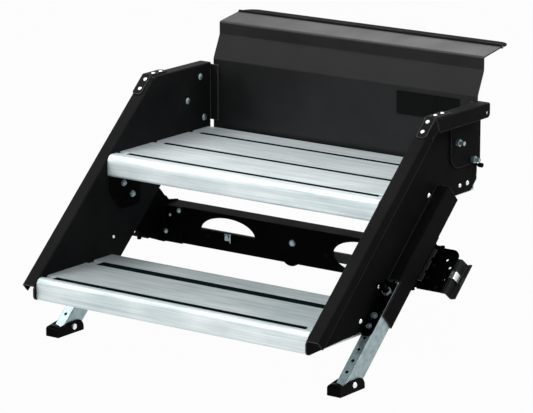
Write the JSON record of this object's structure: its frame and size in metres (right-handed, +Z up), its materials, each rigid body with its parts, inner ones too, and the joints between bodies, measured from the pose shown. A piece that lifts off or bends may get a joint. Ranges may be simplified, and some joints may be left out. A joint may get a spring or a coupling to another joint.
{
  "type": "fold-down entry step",
  "caption": "Fold-down entry step for a caravan door: aluminium treads between black side plates, a bent back panel on a threshold hinge, and telescopic legs with swivel feet.",
  "frame": {"origin": "middle of the threshold screw line, on the top face of the threshold leaf", "axes": "+X to the right for someone who faces the doorway, along the screw line; +Y into the vehicle; +Z up"},
  "size_m": [0.7546, 0.6495, 0.527],
  "materials": {
    "black_powder_coat": "satin",
    "grey_coat": "satin",
    "tread_aluminium": "brushed, anodised",
    "zinc_plate": "satin zinc plating",
    "bright_rivet": "bright plating",
    "black_plastic": "fine grain",
    "black_rubber": "matt",
    "label_plate": "satin"
  },
  "bodies": {
    "threshold": {"threshold_leaf": "black_powder_coat", "hinge_pin": "zinc_plate"},
    "stair": {"back_panel": "black_powder_coat", "label_plate": "label_plate", "mount_bracket_left": "black_powder_coat", "mount_bracket_right": "black_powder_coat", "bracket_bolts": "zinc_plate", "bracket_nuts": "zinc_plate", "side_plate_left": "black_powder_coat", "side_plate_right": "black_powder_coat", "corner_strap_left": "black_powder_coat", "corner_strap_right": "black_powder_coat", "strap_rivets": "bright_rivet", "upper_tread": "tread_aluminium", "lower_tread": "tread_aluminium", "tread_strips": "black_rubber", "tread_screws": "bright_rivet", "tread_gusset_left": "black_powder_coat", "tread_gusset_right": "black_powder_coat", "gusset_bolts": "zinc_plate", "crossbar": "black_powder_coat", "crossbar_bar": "grey_coat", "bar_rivets": "black_powder_coat", "crossbar_bolts": "zinc_plate", "crossbar_clip": "zinc_plate", "crossbar_gusset_left": "black_powder_coat", "crossbar_gusset_right": "black_powder_coat", "notched_strip_left": "grey_coat", "notched_strip_right": "grey_coat", "end_plate_left": "black_powder_coat", "end_plate_right": "black_powder_coat", "frame_hook_left": "grey_coat", "frame_hook_right": "grey_coat", "hook_clips": "zinc_plate", "pin_bracket_left": "black_powder_coat", "pin_bracket_right": "black_powder_coat", "pin_bracket_nuts": "zinc_plate", "web_rivets": "bright_rivet", "bumpers": "black_rubber", "pin_spring_left": "zinc_plate", "pin_spring_right": "zinc_plate"},
    "leg_left": {"leg_tube_left": "zinc_plate"},
    "leg_right": {"leg_tube_right": "zinc_plate"},
    "foot_left": {"foot_left": "black_plastic", "foot_bolt_left": "bright_rivet"},
    "foot_right": {"foot_right": "black_plastic", "foot_bolt_right": "bright_rivet"},
    "leg_pin_left": {"leg_pin_left": "zinc_plate", "pin_knob_left": "black_plastic"},
    "leg_pin_right": {"leg_pin_right": "zinc_plate", "pin_knob_right": "black_plastic"}
  },
  "joints": [
    {"name": "threshold_hinge", "type": "hinge", "parent": "threshold", "child": "stair", "pos_m": [0, -0.011, -0.00125], "axis": [-1, 0, 0], "range_deg": [0, 135]},
    {"name": "leg_slide_left", "type": "slide", "parent": "stair", "child": "leg_left", "axis": [0, -0.7367, -0.6762], "range_m": [-0.072, 0.072]},
    {"name": "foot_pivot_left", "type": "hinge", "parent": "leg_left", "child": "foot_left", "pos_m": [-0.3139, -0.51898, -0.5116], "axis": [1, 0, 0], "range_deg": [-18, 18]},
    {"name": "leg_pin_pull_left", "type": "slide", "parent": "stair", "child": "leg_pin_left", "axis": [0, -0.6762, 0.7367], "range_m": [0, 0.008], "stiffness_N_per_m": 500, "springref_m": -0.006},
    {"name": "leg_slide_right", "type": "slide", "parent": "stair", "child": "leg_right", "axis": [0, -0.7367, -0.6762], "range_m": [-0.072, 0.072]},
    {"name": "foot_pivot_right", "type": "hinge", "parent": "leg_right", "child": "foot_right", "pos_m": [0.3139, -0.51898, -0.5116], "axis": [1, 0, 0], "range_deg": [-18, 18]},
    {"name": "leg_pin_pull_right", "type": "slide", "parent": "stair", "child": "leg_pin_right", "axis": [0, -0.6762, 0.7367], "range_m": [0, 0.008], "stiffness_N_per_m": 500, "springref_m": -0.006}
  ]
}
